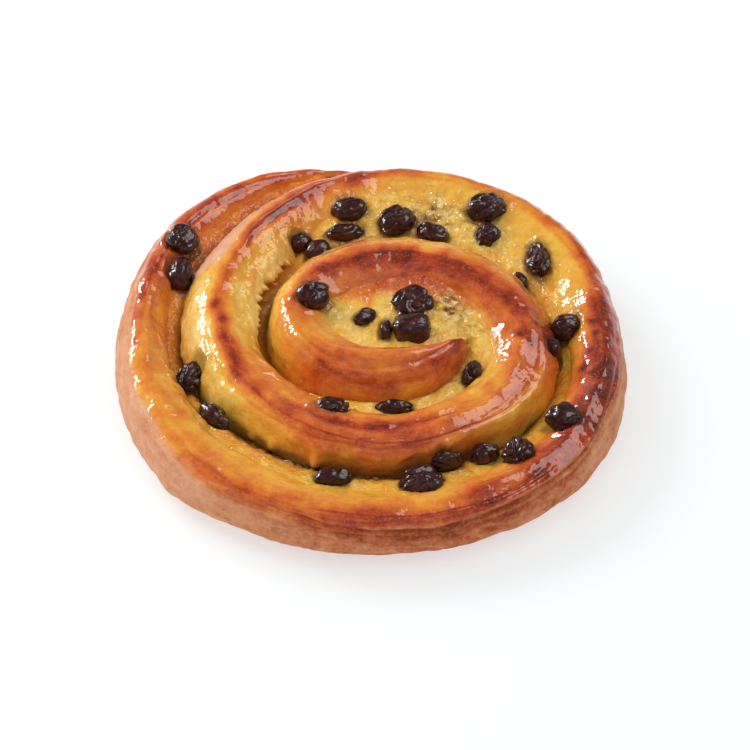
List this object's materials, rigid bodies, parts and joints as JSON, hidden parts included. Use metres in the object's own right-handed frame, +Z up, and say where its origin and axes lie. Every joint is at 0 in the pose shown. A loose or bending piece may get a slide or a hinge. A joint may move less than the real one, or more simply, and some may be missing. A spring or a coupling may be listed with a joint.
{
  "type": "chocolate brioche swirl",
  "caption": "Round flat coil of glazed brioche dough with custard between its turns and dark drops baked into the top.",
  "frame": {"origin": "centre of the coil's outline, on the flat base", "axes": "+Z up, through the flat coil; +Y towards the back of the picture, where the strip's tail lies; +X to its right"},
  "size_m": [0.1099, 0.1122, 0.0221],
  "materials": {
    "baked_dough": "glazed golden-brown crust",
    "custard": "moist set custard",
    "dark_drop": "glossy wrinkled near-black"
  },
  "bodies": {
    "root": {"dough_coil": "baked_dough", "custard_filling": "custard", "drop_01": "dark_drop", "drop_02": "dark_drop", "drop_03": "dark_drop", "drop_04": "dark_drop", "drop_05": "dark_drop", "drop_06": "dark_drop", "drop_07": "dark_drop", "drop_08": "dark_drop", "drop_09": "dark_drop", "drop_10": "dark_drop", "drop_11": "dark_drop", "drop_12": "dark_drop", "drop_13": "dark_drop", "drop_14": "dark_drop", "drop_15": "dark_drop", "drop_16": "dark_drop", "drop_17": "dark_drop", "drop_18": "dark_drop", "drop_19": "dark_drop", "drop_20": "dark_drop", "drop_21": "dark_drop", "drop_22": "dark_drop", "drop_23": "dark_drop", "drop_24": "dark_drop", "drop_25": "dark_drop", "drop_26": "dark_drop", "drop_27": "dark_drop", "drop_28": "dark_drop", "drop_29": "dark_drop", "drop_30": "dark_drop"}
  },
  "joints": []
}
